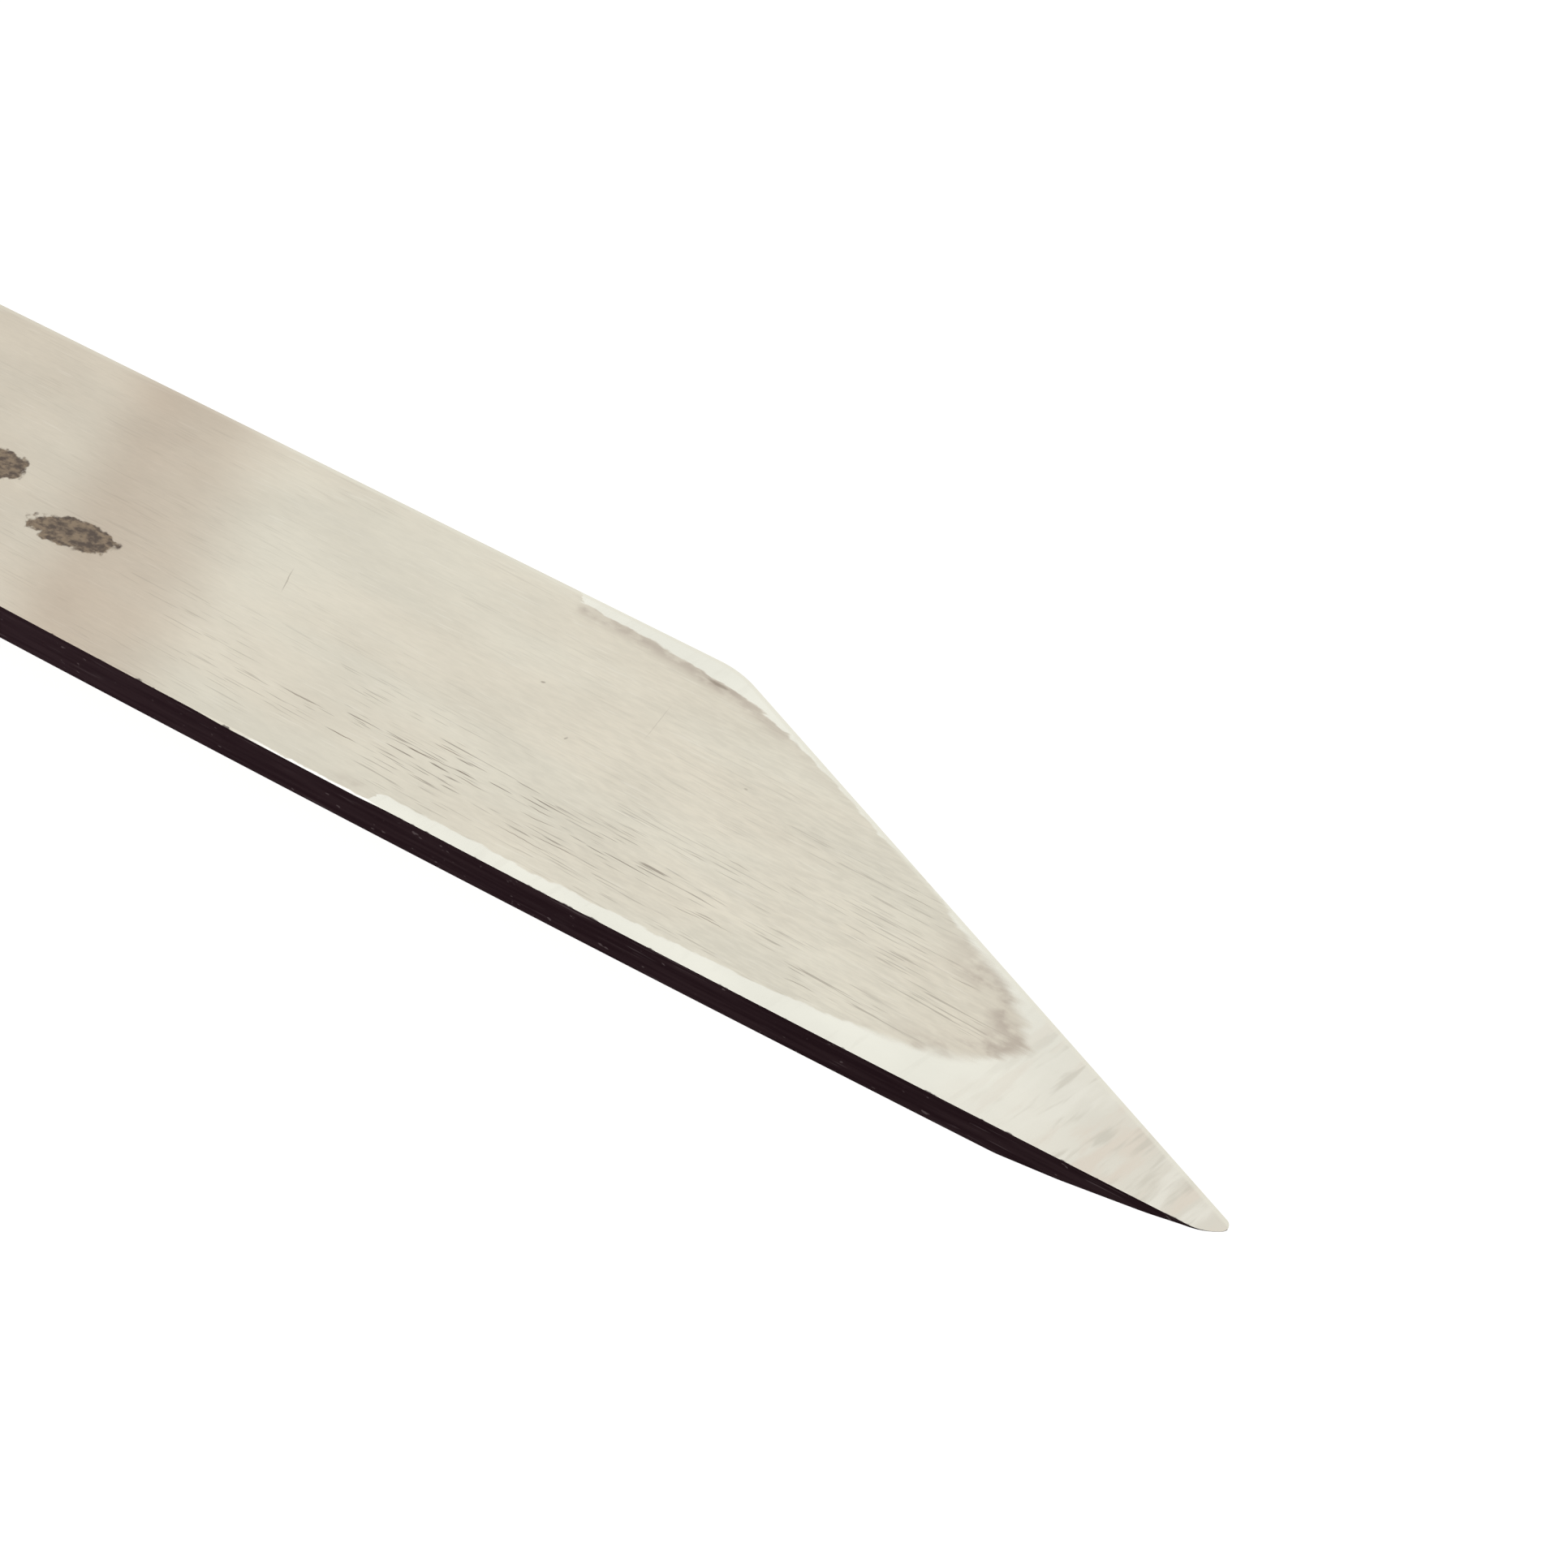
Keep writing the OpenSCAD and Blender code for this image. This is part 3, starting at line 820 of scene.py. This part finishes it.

# %% [markdown]
# ## The flat side: edge, band and film
# A thin bright line follows the honed edge, partly polish and partly a painted highlight. A painted
# reflection crosses the blade as a dull band, and the brown film sits only where nothing is polished. The
# band multiplies the colour, and the brown film covers it in blotches.

# %% Edge, band and film
# Pale line along the edge: partly honed polish, partly a painted highlight.
honed_edge_highlight = span(attribute(tree, "edge"), 0.45, 0.2, 0.0, 0.6)
steel = blend(honed_edge_highlight, steel, (0.79, 0.767, 0.66, 1))
# Painted reflection: the dull band multiplies the steel's colour.
steel = blend(attribute(tree, "painted_reflection_band"), steel, (0.80, 0.735, 0.705, 1), "MULTIPLY")
blotch = span(noise(place, (450, 750, 750), detail=4), 0.4, 0.6, 0.3, 1.0)
film = attribute(tree, "stain") * blotch * (1.0 - polished)
steel = blend(film * 0.9, steel, (0.48, 0.42, 0.355, 1))
print("film:", len(tree.nodes), "nodes so far")

# %% [markdown]
# ## The flat side: scratches
# These scratches and nicks can be told apart by eye. Noise already gives the many faint ones.

# %% Scratches
# Millimetres before the point, millimetres over the back, angle, length, width, strength.
scratches = (
    (-96.4, 15.3, 111.6, 3.2, 0.14, 0.4),
    (-62.6, 18.9, 97.2, 4.6, 0.1, 0.22),
    (-74.6, 6.2, 2.0, 11.5, 0.07, 0.75),
    (-86.5, 5.7, 1.0, 5.0, 0.08, 0.75),
    (-81.5, 4.3, 1.0, 3.6, 0.1, 0.9),
    (-73.7, 7.6, 1.0, 3.6, 0.09, 0.8),
    (-70.3, 5.8, -1.0, 4.0, 0.08, 0.7),
    (-64.1, 6.4, 0.0, 2.8, 0.09, 0.7),
    (-63.3, 3.4, -0.5, 7.0, 0.07, 0.75),
    (-47.9, 4.7, 0.0, 2.2, 0.12, 0.5),
    (-39.5, 4.3, 0.0, 3.0, 0.07, 0.5),
    (-36.3, 14.5, 1.0, 3.0, 0.07, 0.4),
    (-61.3, 24.85, -2.0, 2.8, 0.4, 0.55),
    (-72.5, 17.5, 20.0, 0.5, 0.25, 0.6),
    (-67.3, 13.6, 60.0, 0.45, 0.22, 0.5),
    (-53.0, 16.8, 0.0, 0.4, 0.2, 0.4),
    (-63.7, 5.6, 3.0, 4.0, 0.08, 0.7),
    (-61.2, 4.2, 2.5, 5.4, 0.08, 0.75),
    (-51.9, 9.1, 2.0, 1.8, 0.08, 0.5),
    (-48.9, 10.2, -2.0, 2.6, 0.07, 0.5),
    (-49.3, 4.3, 3.0, 3.4, 0.07, 0.6),
    (-47.6, 4.5, 0.0, 4.8, 0.08, 0.7),
    (-38.7, 3.1, 2.0, 3.2, 0.08, 0.6),
    (-29.3, 9.7, 1.0, 2.8, 0.08, 0.5),
)
for *where, strength in scratches:
    steel = blend(scratch_at(place, *where) * strength, steel, (0.24, 0.19, 0.15, 1))
print(len(scratches), "scratches")

# %% [markdown]
# ## The flat side: corner at the back
# Small dark nicks bite into this corner, and over a short stretch a bright line lies on it, partly steel
# rubbed bare and partly a painted highlight. Both are a threshold on the height over the back, made uneven
# by the same noise, because a clean line would look new.

# %% Nicks and bright corner line
nick_depth = noise(place, (800, 800, 800), detail=4, shift=(6, 1, 2)) - 0.6
nicked = span(nick_depth * 0.8 - over_back, -0.06, 0.04, 0.0, 0.85)
steel = blend(nicked, steel, (0.06, 0.045, 0.045, 1))
# Bright line on the corner: partly rubbed bare steel, partly a painted highlight.
rubbed_highlight_zone = span(ahead_of, -89.0, -84.0) * span(ahead_of, -74.0, -76.0)
bare_and_highlight = rubbed_highlight_zone * span(over_back + nick_depth * 0.3, 0.1, 0.04)
steel = blend(bare_and_highlight, steel, (0.95, 0.94, 0.90, 1))
print("corner at the back:", len(tree.nodes), "nodes so far")

# %% [markdown]
# ## The flat side: rust, gloss and relief
# Rust is no longer metal: it is dull, dark and sunk. So the spots change the metal share, the roughness and
# the bump as well as the colour. The fine lines of the grinding go into the same bump.

# %% Rust, gloss and relief
pit_border = (noise(place, (900, 900, 900), detail=4) - 0.5) * 0.9
pitted = span(attribute(tree, "pit") + pit_border, 0.02, 0.16)
rust_grain = span(noise(place, (1500, 2300, 2300), detail=5), 0.35, 0.68)
rust = blend(rust_grain, (0.11, 0.082, 0.064, 1), (0.30, 0.228, 0.155, 1))
relief = {"Strength": 0.12, "Distance": 0.03 * MM, "Height": grain["Lines"] - pitted * 3.0}
principled(tree, {
    "Base Color": blend(pitted, steel, rust),
    "Metallic": 1.0 - pitted * 0.7,
    "Roughness": span(polished, 0.0, 1.0, 0.40, 0.24) + pitted * 0.3,
    "Normal": output(tree, "ShaderNodeBump", relief),
})
print("flat side:", len(tree.nodes), "nodes")

# %% [markdown]
# ## Bevel and hidden flat
# The bevel is ground across the blade, the hidden flat along it and without polish. Both are plain metal,
# two tones of steel mixed by stretched noise, which is enough where nothing is stained.

# %% Bevel and hidden flat
def toned(pattern, dark, light):
    """Colour between a dark and a light tone, by the middle range of a pattern."""
    return blend(span(pattern, 0.3, 0.7), dark, light)


def metal(tree, colour, roughness):
    """Makes a finish plain metal of a colour and a roughness."""
    principled(tree, {"Metallic": 1.0, "Base Color": colour, "Roughness": roughness})


bevel_steel, tree, place = finish_of("blade_bevel")
cross_lines = noise(place, (3200, 180, 180))
metal(tree, toned(cross_lines, (0.70, 0.67, 0.59, 1), (0.80, 0.775, 0.69, 1)), 0.28)

hidden_steel, tree, place = finish_of("blade_hidden_side")
long_lines = ground_steel(place)["Lines"]
metal(tree, toned(long_lines, (0.64, 0.60, 0.51, 1), (0.74, 0.70, 0.60, 1)), 0.4)
print("finishes:", bevel_steel.name, hidden_steel.name)

# %% [markdown]
# ## The dark back
# The back is painted near-black as a painted dark reflection, with faint streaks, specks and lighter rubbed
# lines drawn as painted glints. Black paint would show a white sheen at a flat angle. It is still metal, so
# we use a dark metal and lower its Specular Tint, which sets how bright metal turns near a grazing view.

# %% Dark back
back_dark_reflection, tree, place = finish_of("blade_back_dark_reflection")
streaks = noise(place, (130, 130, 2600), detail=3)
# Painted dark reflection: near-black streaked colour over the whole back.
painted_dark_back = toned(streaks, (0.0079, 0.0035, 0.0042, 1), (0.0176, 0.0101, 0.011, 1))
# Lighter rubbed lines on the back, drawn with the painted glints.
rub_glint_amount = span(noise(place, (60, 60, 900)), 0.45, 0.65, 0.05, 0.5)
painted_dark_back = blend(ground_steel(place)["Light"] * rub_glint_amount, painted_dark_back, (0.10, 0.08, 0.082, 1))
specks = span(noise(place, (1100, 1100, 2000)), 0.68, 0.74)
metal(tree, blend(specks * 0.4, painted_dark_back, (0.16, 0.13, 0.13, 1)), 0.42)
principled(tree, {"Specular Tint": (0.65, 0.575, 0.60, 1)})
print("finish:", back_dark_reflection.name, len(tree.nodes), "nodes")

# %% [markdown]
# ## Handle wood
# The scales are dark oiled hardwood with the grain along the handle. A wood picture would need unwrapping
# and show seams. Noise in object coordinates runs through the wood as grain does: slow growth bands, fine
# fibres, cloudy oil and short dark pores.

# %% Handle wood
wood, tree, place = finish_of("handle_wood")
growth = noise(place, (9, 330, 210), detail=5)
fibres = noise(place, (45, 2600, 2600))
pores = span(noise(place, (260, 5200, 5200), detail=1, shift=(1, 4, 2)), 0.6, 0.74)
oil = noise(place, (30, 90, 90), detail=3) * 0.4
timber = blend(span(growth, 0.34, 0.66), (0.040, 0.0155, 0.0085, 1), (0.120, 0.050, 0.025, 1))
timber = blend(span(fibres, 0.3, 0.75, 0.0, 0.45), timber, (0.165, 0.078, 0.042, 1))
timber = blend(oil, timber, (0.045, 0.018, 0.010, 1))
timber = blend(pores * 0.8, timber, (0.016, 0.008, 0.005, 1))
relief = {"Strength": 0.35, "Distance": 0.1 * MM, "Height": fibres - pores}
principled(tree, {
    "Base Color": timber,
    "Specular IOR Level": 0.35,
    "Roughness": span(growth, 0.3, 0.7, 0.46, 0.36),
    "Normal": output(tree, "ShaderNodeBump", relief),
})
print("finish:", wood.name, len(tree.nodes), "nodes")

# %% [markdown]
# ## Bolster, tang and rivets
# The bolster is satin steel, brushed round the handle. The tang was ground with the wood, and the brass
# rivets have dulled. Each is metal with two tones, and on bolster and rivets brush marks make the gloss
# uneven, since one plain roughness would look moulded.

# %% Handle metals
bolster_steel, tree, place = finish_of("bolster_steel")
brush = noise(place, (5200, 80, 80))
bolster_colour = toned(brush, (0.50, 0.49, 0.468, 1), (0.60, 0.59, 0.566, 1))
metal(tree, bolster_colour, span(brush, 0.3, 0.7, 0.24, 0.36))

tang_steel, tree, place = finish_of("tang_steel")
tang_lines = noise(place, (220, 220, 4200))
metal(tree, toned(tang_lines, (0.54, 0.51, 0.45, 1), (0.66, 0.63, 0.57, 1)), 0.34)

brass, tree, place = finish_of("rivet_brass")
dull = span(noise(place, (260, 260, 260), detail=3), 0.4, 0.7)
turning = noise(place, (5200, 700, 700), turn=0.5)
brass_colour = blend(dull, (0.62, 0.455, 0.21, 1), (0.51, 0.36, 0.165, 1))
metal(tree, brass_colour, span(turning, 0.3, 0.7, 0.24, 0.34))
print("finishes:", bolster_steel.name, tang_steel.name, brass.name)

# %% [markdown]
# ## Build the blade
# The blade is one piece of steel with four finishes, so its rings become one skin with four materials.
# Shader nodes could work the maps out again, but numpy has them already: they are stored on the skin's
# points as attributes, and the finishes read them.

# %% Blade
rings, part = blade_rings()
blade = skin("blade_skin", rings, [flat_steel, bevel_steel, hidden_steel, back_dark_reflection], part)
ring_x, ring_y = rings[..., 0].ravel(), rings[..., 1].ravel()
ahead, up = ring_x - blade_len, ring_y - spine_y(ring_x)
maps = {
    "polish": polish_map(ring_x, ring_y),
    "slope": polish_map(ring_x + 0.5, ring_y) - polish_map(ring_x - 0.5, ring_y),
    "stain": stain_map(ring_x, ring_y),
    # The band map places a painted reflection.
    "painted_reflection_band": reflection_band_map(ahead, up),
    "scored": scored_map(ahead, up),
    "pit": pit_map(ahead, up),
    "edge": edge_inset(ring_x, ring_y),
    "ahead": ahead,
    "up": up,
}
for map_name, values in maps.items():
    stored = blade.data.attributes.new(map_name, "FLOAT", "POINT")
    stored.data.foreach_set("value", values.astype(np.float32))
stand_for(blade, "blade_steel", "blade")

# %% [markdown]
# ## Build the handle
# The tang is the blade's own steel and starts at the bolster's front, where the blade's skin ends. Wood
# shrinks a hair below the rivets with age, so the scales are sunk a little more than the bolster, and
# nothing lies in one plane with its neighbour.

# %% Handle
wood_sunk, bolster_sunk, handle_sharp = 0.06, 0.02, 35.0
butt_start = handle_len - butt_r
butt_t = butt_start + butt_r * np.sin(np.linspace(0, np.pi / 2, 16))[1:]
nose_turn = np.linspace(0, np.pi / 2, 18)
grip_t = np.concatenate([np.linspace(bolster_len + fit, butt_start, 70), butt_t])
nose_t = np.concatenate([nose_len * (1 - np.cos(nose_turn)), np.linspace(nose_len, bolster_len, 8)[1:]])
tang_t = np.concatenate([[0.0], np.linspace(bolster_len, butt_start, 70), butt_t])

tang = skin("tang_strip", tang_rings(tang_t)[::-1], [tang_steel])
stand_for(tang, "blade_steel", "blade")
for side, word in ((1, "left"), (-1, "right")):
    scale_rings = handle_rings(grip_t, side, wood_sunk)[::-1]
    scale = skin("scale_" + word + "_skin", scale_rings, [wood], sharp=handle_sharp)
    stand_for(scale, "handle_wood", "scale_" + word)
    half_rings = handle_rings(nose_t, side, bolster_sunk)[::-1]
    half = skin("bolster_" + word + "_skin", half_rings, [bolster_steel], sharp=handle_sharp)
    stand_for(half, "bolster_steel", "bolster_" + word)

# %% [markdown]
# ## Rivets and pins
# Three brass rivets hold the scales, each a sleeve from one side and a stud from the other, and two steel
# pins hold the bolster. Only their ends show, ground flush. A plain cylinder would stand proud of the
# rounded form, so each end is a turned profile lifted onto the handle's outer face.

# %% Rivets and pins
# Diameters of rivet heads and pins, the pins' distance, and places behind the bolster's front.
head_d, pin_d, pin_gap = 8.0, 3.0, 9.0
rivet_places = {"front": 29.0, "middle": 63.0, "rear": 97.0}
pin_place = (nose_len + bolster_len) / 2
# A profile starts and ends this close to its axis.
axis_gap = 0.01


def end_profile(radius, depth, ease_r):
    """Profile of a flat end with a slightly eased rim, from its buried middle to its visible middle."""
    steps = np.linspace(axis_gap, radius - ease_r, 6)[::-1]
    buried = [(axis_gap, -depth), (radius, -depth), (radius, -0.6 * ease_r)]
    return buried + [(step, 0.0) for step in steps]


head, pin_end = end_profile(head_d / 2, 1.2, 0.15), end_profile(pin_d / 2, 1.0, 0.03)
for place_word, t in rivet_places.items():
    for side, word in ((1, "sleeve"), (-1, "stud")):
        head_rings = turned_rings(t, 0.0, side, head)
        rivet = skin(place_word + "_" + word + "_head", head_rings, [brass], sharp=handle_sharp)
        stand_for(rivet, "rivet_brass", place_word + "_rivet_" + word)
for aside, word in ((-1, "back"), (1, "belly")):
    for side, end_word in ((1, "left"), (-1, "right")):
        pin_rings = turned_rings(pin_place, aside * pin_gap / 2, side, pin_end)
        pin = skin("pin_" + word + "_" + end_word, pin_rings, [bolster_steel], sharp=handle_sharp)
        stand_for(pin, "bolster_steel", "bolster_pin_" + word)

# %% [markdown]
# ## Floor
# The knife lies on a pale floor that reads as white. More light would make it white too, but would bleach
# the steel. So it glows a little for rays from the camera, off a gloss or through a clear piece, and is
# plain pale paint for all others. A faint shadow stays.

# %% Floor
floor_reach = 6.0


def backdrop_rays(tree):
    """One for rays from the camera, off a gloss or through a clear piece: the greatest of the three flags."""
    rays = signals(tree, add(tree, "ShaderNodeLightPath", {}))
    seen = calc(tree, "MAXIMUM", rays["Is Camera Ray"], rays["Is Glossy Ray"])
    return calc(tree, "MAXIMUM", seen, rays["Is Transmission Ray"])


floor_mesh = bpy.data.meshes.new("floor")
floor_corners = [(x * floor_reach, y * floor_reach, 0.0) for x, y in ((-1, -1), (1, -1), (1, 1), (-1, 1))]
floor_mesh.from_pydata(floor_corners, [], [(0, 1, 2, 3)])
floor = placed("floor", floor_mesh)
floor_paint = bpy.data.materials.new("floor_paint")
floor_paint.use_nodes = True
tree = floor_paint.node_tree
tree.nodes.clear()
matte = output(tree, "ShaderNodeBsdfDiffuse", {"Color": (0.78, 0.78, 0.775, 1)})
shadowed = output(tree, "ShaderNodeBsdfDiffuse", {"Color": (0.25, 0.25, 0.25, 1)})
glow = output(tree, "ShaderNodeEmission", {"Color": (1, 1, 1, 1), "Strength": 0.86})
seen = output(tree, "ShaderNodeAddShader", {0: shadowed, 1: glow})
mixed = output(tree, "ShaderNodeMixShader", {0: backdrop_rays(tree), 1: matte, 2: seen})
add(tree, "ShaderNodeOutputMaterial", {"Surface": mixed})
floor_mesh.materials.append(floor_paint)
print("floor", 2 * floor_reach, "m wide")

# %% [markdown]
# ## Light
# The photograph has soft light from all round and hardly a shadow. An even white world gives that, and
# metal mirrors it, so steel renders about as its colour is written. Two wide, weak softboxes from the side
# and the front give the handle some form without a hard glint.

# %% World
world = bpy.data.worlds.new("studio")
bpy.context.scene.world = world
world.use_nodes = True
tree = world.node_tree
tree.nodes.clear()
sky = output(tree, "ShaderNodeBackground", {"Color": (1.0, 0.995, 0.985, 1), "Strength": 0.78})
white = output(tree, "ShaderNodeBackground", {"Color": (1, 1, 1, 1), "Strength": 1.0})
around = output(tree, "ShaderNodeMixShader", {0: backdrop_rays(tree), 1: sky, 2: white})
add(tree, "ShaderNodeOutputWorld", {"Surface": around})
print("world", world.name, len(tree.nodes), "nodes")

# %% Softboxes
box_distance, box_size, box_power = 2.2, 3.0, 4.6


def softbox(name, direction):
    """Square area light that looks at the knife, tilted by the direction's height and turned round z."""
    light = bpy.data.lights.new(name, "AREA")
    light.shape, light.size, light.energy = "SQUARE", box_size, box_power
    lamp = placed(name, light)
    direction = np.array(direction) / np.linalg.norm(direction)
    lamp.location = photo_target + box_distance * direction
    lamp.rotation_euler = (np.arccos(direction[2]), 0.0, np.arctan2(direction[0], -direction[1]))
    print(name, "at", np.array(lamp.location).round(2))


softbox("softbox_side", (0.75, 0.35, 0.57))
softbox("softbox_front", (-0.35, -0.75, 0.57))
